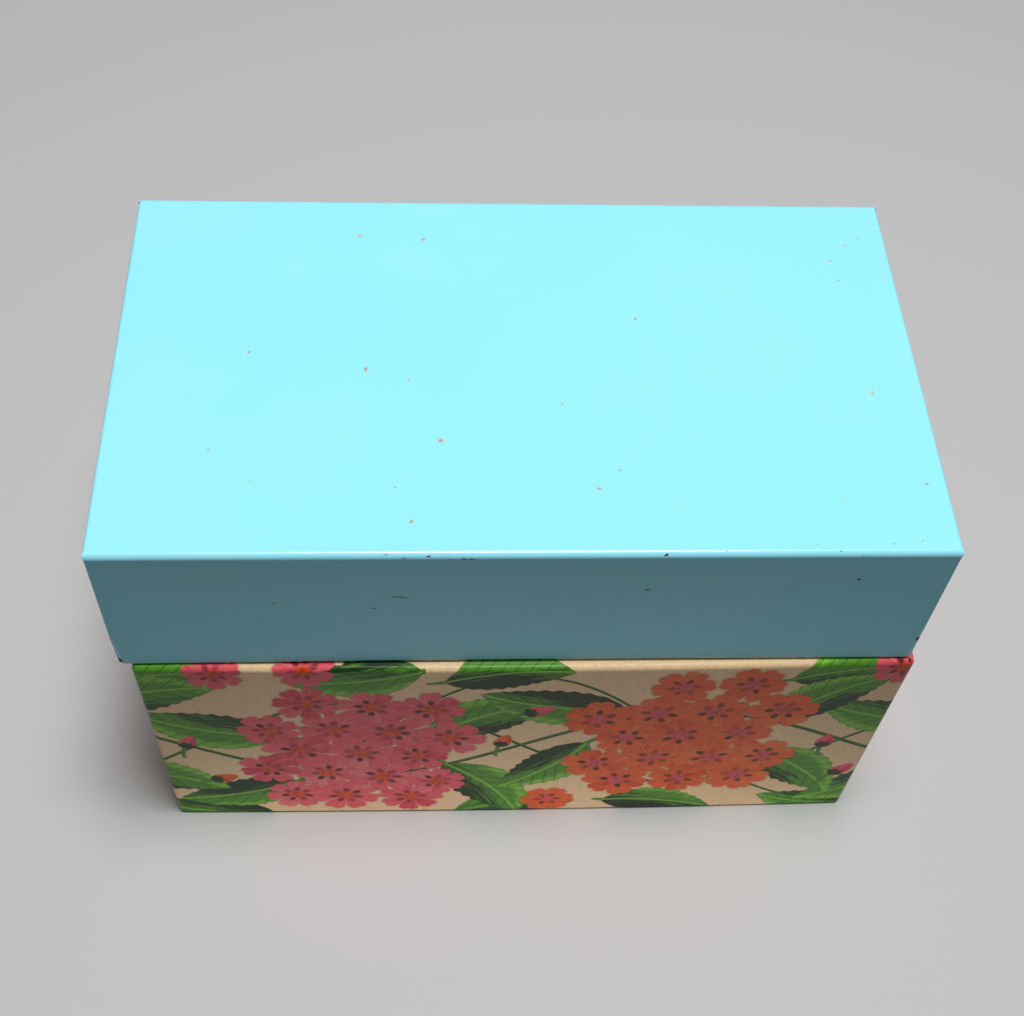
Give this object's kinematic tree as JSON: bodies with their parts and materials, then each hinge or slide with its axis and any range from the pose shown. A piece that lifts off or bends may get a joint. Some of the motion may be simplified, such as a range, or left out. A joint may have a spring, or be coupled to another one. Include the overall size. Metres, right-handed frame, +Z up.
{
  "type": "recipe card box",
  "caption": "Folded tinplate box with a wire-hinged lid, for standing 3 by 5 inch recipe cards; printed body, enamelled lid.",
  "frame": {"origin": "on the table under the middle of the whole box, lid overhang and hinge counted in", "axes": "+X to the right along the front, +Y from front to back towards the hinge, +Z up"},
  "size_m": [0.1362, 0.081, 0.0921],
  "materials": {
    "printed_tin": "cream ground with a printed flower pattern under gloss varnish",
    "lid_enamel": "light turquoise gloss enamel, small chips",
    "bare_tin": "bare tinplate",
    "steel_wire": "drawn steel wire"
  },
  "bodies": {
    "base": {"body_shell": "printed_tin", "bottom_panel": "bare_tin"},
    "lid": {"lid_shell": "lid_enamel", "hinge_pin": "steel_wire"}
  },
  "joints": [
    {"name": "lid_hinge", "type": "hinge", "parent": "base", "child": "lid", "pos_m": [0, 0.03927, 0.05928], "axis": [-1, 0, 0], "range_deg": [0, 180]}
  ]
}
